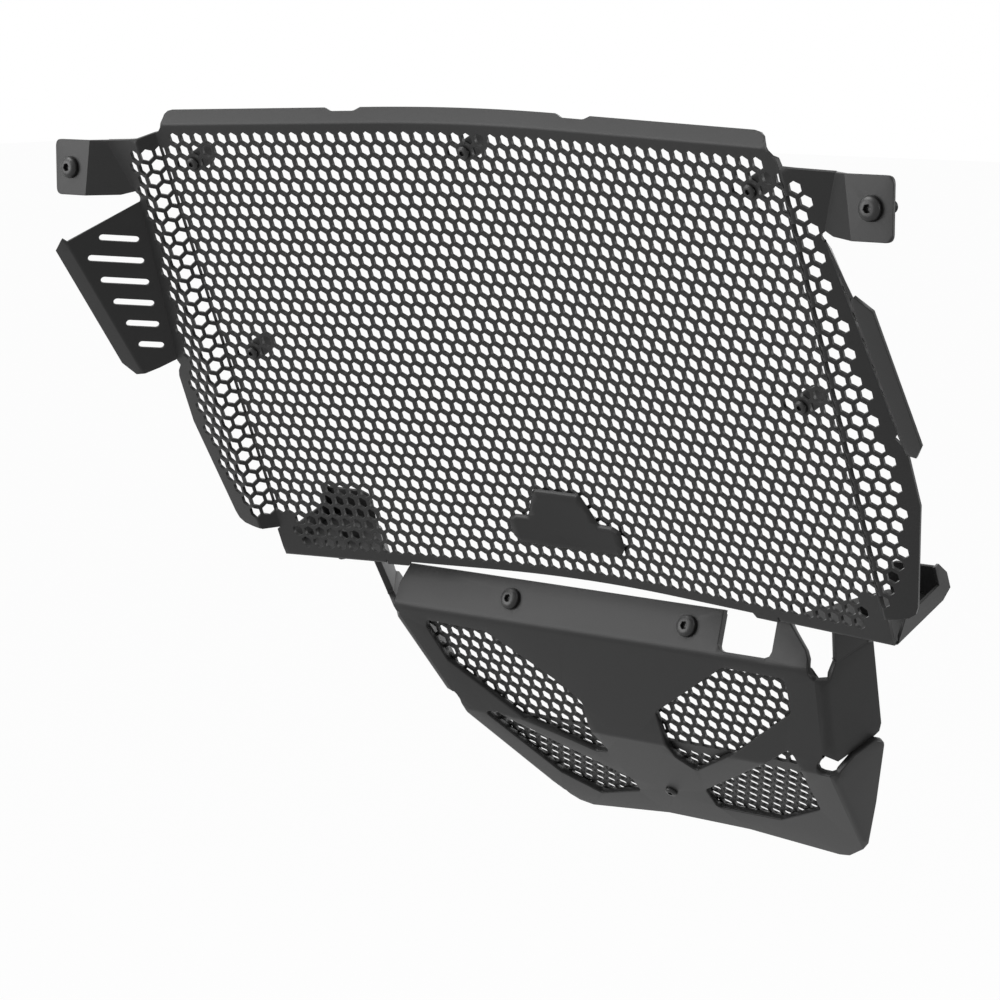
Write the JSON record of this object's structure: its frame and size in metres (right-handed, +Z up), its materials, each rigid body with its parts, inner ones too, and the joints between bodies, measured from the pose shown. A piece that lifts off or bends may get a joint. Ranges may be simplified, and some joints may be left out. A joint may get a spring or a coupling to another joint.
{
  "type": "motorcycle radiator guard",
  "caption": "Two-piece stone guard for a motorcycle radiator: a folded honeycomb panel with screw ears and slotted deflectors, over a thicker folded plate with meshed windows.",
  "frame": {"origin": "on the axis of the left ear screw, where its thread begins, 0.2 mm behind the back face of the ear", "axes": "+X across the machine to the other ear, +Y back towards the radiator, +Z up; the panel keeps the lean, top forward, that it has on the machine"},
  "size_m": [0.435, 0.191, 0.3234],
  "materials": {
    "coat": "satin black powder coat",
    "coat_mesh": "satin black powder coat",
    "badge": "satin black, bare",
    "black_steel": "blackened steel",
    "rubber": "moulded black rubber"
  },
  "bodies": {
    "root": {"upper_guard": "coat", "badge_plate": "badge", "ear_screw_left": "black_steel", "ear_screw_right": "black_steel", "bumper_screw_1": "black_steel", "bumper_screw_2": "black_steel", "bumper_screw_3": "black_steel", "bumper_screw_4": "black_steel", "bumper_screw_5": "black_steel", "bumper_1": "rubber", "bumper_2": "rubber", "bumper_3": "rubber", "bumper_4": "rubber", "bumper_5": "rubber", "bumper_nut_1": "black_steel", "bumper_nut_2": "black_steel", "bumper_nut_3": "black_steel", "bumper_nut_4": "black_steel", "bumper_nut_5": "black_steel", "lower_guard": "coat", "lower_mesh": "coat_mesh", "band_screw_left": "black_steel", "band_screw_right": "black_steel", "band_nut_left": "black_steel", "band_nut_right": "black_steel", "mesh_screw": "black_steel", "mesh_nut": "black_steel", "joint_screw_left": "black_steel", "joint_screw_right": "black_steel", "joint_nut_left": "black_steel", "joint_nut_right": "black_steel"}
  },
  "joints": []
}
